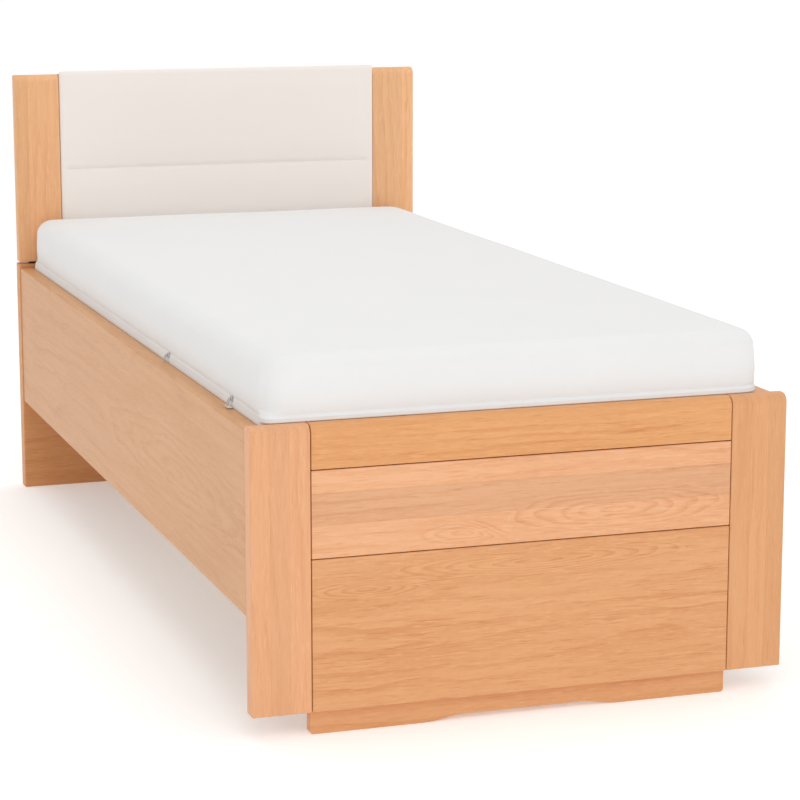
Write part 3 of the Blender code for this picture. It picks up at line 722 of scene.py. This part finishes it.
CLEAR = 0.0003              # small gap between a fitting and the board that it sits on
SCREW_RADIUS = 0.0042
CAP_LENGTH, CAP_OVER = 0.026, 0.0012        # a slat cap along the slat, and past its end
CAP_PROUD, LIP_PROUD, LIP_LENGTH = 0.0014, 0.0022, 0.003
ROD_RADIUS = 0.005
CLIP_THICK, CLIP_REACH = 0.0015, 0.019      # sheet thickness, and half length of a saddle clip
CLIP_X, CLIP_HALF_WIDTH = 0.29, 0.009
CLIP_SCREW_OUT, CLIP_SCREW_RADIUS = 0.0135, 0.0036
BRACKET_THICK = 0.003
BRACKET_SCREW_IN, BRACKET_SCREW_OUT = 0.025, 0.040   # from its ends, and from its corner
LEDGE_SCREWS, LEDGE_SCREW_END = 7, 0.06
TAB_HALF_WIDTH, TAB_THICK = 0.0045, 0.0014


def screw_head(pile, centre, way, radius=SCREW_RADIUS):
    """Pan head with a round recess."""
    profile = ((radius, 0.0), (radius, 0.0008), (radius * 0.86, 0.0019), (radius * 0.5, 0.0024),
               (radius * 0.42, 0.0024), (radius * 0.36, 0.0009))
    pile.lathe(profile, centre, way)


def slat_caps(rubber):
    """Rubber sleeves on the ends of the slats, with a lip towards the middle."""
    for section, body in (("back", "back_section"), ("leg", "leg_section"), ("seat", "bedstead")):
        pile = Pile()
        for name in sorted(n for n in NODES if n.startswith(section + "_slat_")):
            low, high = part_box(name)
            for _, side in SIDES:
                for start, end, proud in (
                    (CAP_LENGTH, -CAP_OVER, CAP_PROUD),
                    (CAP_LENGTH + LIP_LENGTH, CAP_LENGTH, LIP_PROUD),
                ):
                    ends = sorted((side * (high.x - start), side * (high.x - end)))
                    a, b = low.y - proud, high.y + proud
                    c, d = low.z - 0.0001, high.z + proud
                    pile.prism(((a, c), (b, c), (b, d), (a, d)), *ends, "x")
        pile.piece(f"{section}_slat_caps", rubber, body, "dark_plastic", 0.0007)


def rod_clips(steel):
    """Saddle clips that hold each bow's cross rod under its bar, with their screws."""
    for section in ("back", "leg"):
        pile = Pile()
        bar_low, bar_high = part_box(f"{section}_bow_bar")
        bow_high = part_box(f"{section}_bow")[1]
        y = (bar_low.y + bar_high.y) / 2
        z = bow_high.z - ROD_RADIUS
        flat = bar_low.z - CLEAR
        inner = ROD_RADIUS + 0.0004
        outer = inner + CLIP_THICK
        arc = [math.pi + math.pi * k / 10 for k in range(11)]
        outside = [(y + outer * math.cos(t), z + outer * math.sin(t)) for t in arc]
        inside = [(y + inner * math.cos(t), z + inner * math.sin(t)) for t in arc[::-1]]
        under = flat - CLIP_THICK
        front, back = y - CLIP_REACH, y + CLIP_REACH
        outline = [(front, flat), (front, under), (y - outer, under), *outside,
                   (y + outer, under), (back, under), (back, flat),
                   (y + inner, flat), *inside, (y - inner, flat)]
        for x in (-CLIP_X, CLIP_X):
            pile.prism(outline, x - CLIP_HALF_WIDTH, x + CLIP_HALF_WIDTH, "x")
            for way in (-1, 1):
                centre = (x, y + way * CLIP_SCREW_OUT, under)
                screw_head(pile, centre, (0, 0, -1), CLIP_SCREW_RADIUS)
        pile.piece(f"{section}_rod_clips", steel, f"{section}_section", "steel")


def screws(steel):
    """Heads on the corner brackets and along the ledges."""
    pile = Pile()
    for end, way in (("foot", 1), ("head", -1)):
        for label, side in SIDES:
            low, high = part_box(f"corner_bracket_{end}_{label}")
            outer_x = low.x if side < 0 else high.x
            outer_y = low.y if way > 0 else high.y
            near_x, far_x = (outer_x - side * d for d in (BRACKET_THICK, BRACKET_SCREW_OUT))
            near_y, far_y = (outer_y + way * d for d in (BRACKET_THICK, BRACKET_SCREW_OUT))
            for z in (low.z + BRACKET_SCREW_IN, high.z - BRACKET_SCREW_IN):
                screw_head(pile, (near_x, far_y, z), (-side, 0, 0))
                screw_head(pile, (far_x, near_y, z), (0, way, 0))
    for label, side in SIDES:
        low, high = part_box(f"slat_ledge_{label}")
        inner_x = high.x if side < 0 else low.x
        span = high.y - low.y - 2 * LEDGE_SCREW_END
        for k in range(LEDGE_SCREWS):
            y = low.y + LEDGE_SCREW_END + k * span / (LEDGE_SCREWS - 1)
            screw_head(pile, (inner_x, y, (low.z + high.z) / 2), (-side, 0, 0))
    pile.piece("bracket_and_ledge_screws", steel, "bedstead", "steel")


def zip_tab(cloth):
    """Small moulded tab that hangs from the pull at the foot and lies on the rail."""
    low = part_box("zip_pull_foot")[0]
    rail_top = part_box("side_rail_left")[1].z
    x, y = low.x + 0.004, low.y + 0.004
    z = rail_top + 0.0012
    path = [
        (y + 0.004, low.z + 0.0015),
        (y, low.z + 0.0005),
        (y - 0.006, z + 0.0012),
        (y - 0.016, z + 0.0004),
    ]
    outline = path + [(a, b + TAB_THICK) for a, b in path[::-1]]
    pile = Pile()
    pile.prism(outline, x - TAB_HALF_WIDTH, x + TAB_HALF_WIDTH, "x")
    pile.piece("zip_tab_foot", cloth, "zip_pull_foot", "cream_cover", 0.0004)


# ---- build --------------------------------------------------------------------------------------

camera()
studio()
boards()
fittings()
slat_caps(plastic("black_rubber", srgb(38, 38, 40)))
plated = metal("zinc_clip", srgb(196, 198, 202), 0.36, "z")
rod_clips(plated)
screws(plated)
zip_tab(plastic("beige_tab", srgb(226, 216, 200)))
pad()
mattress()
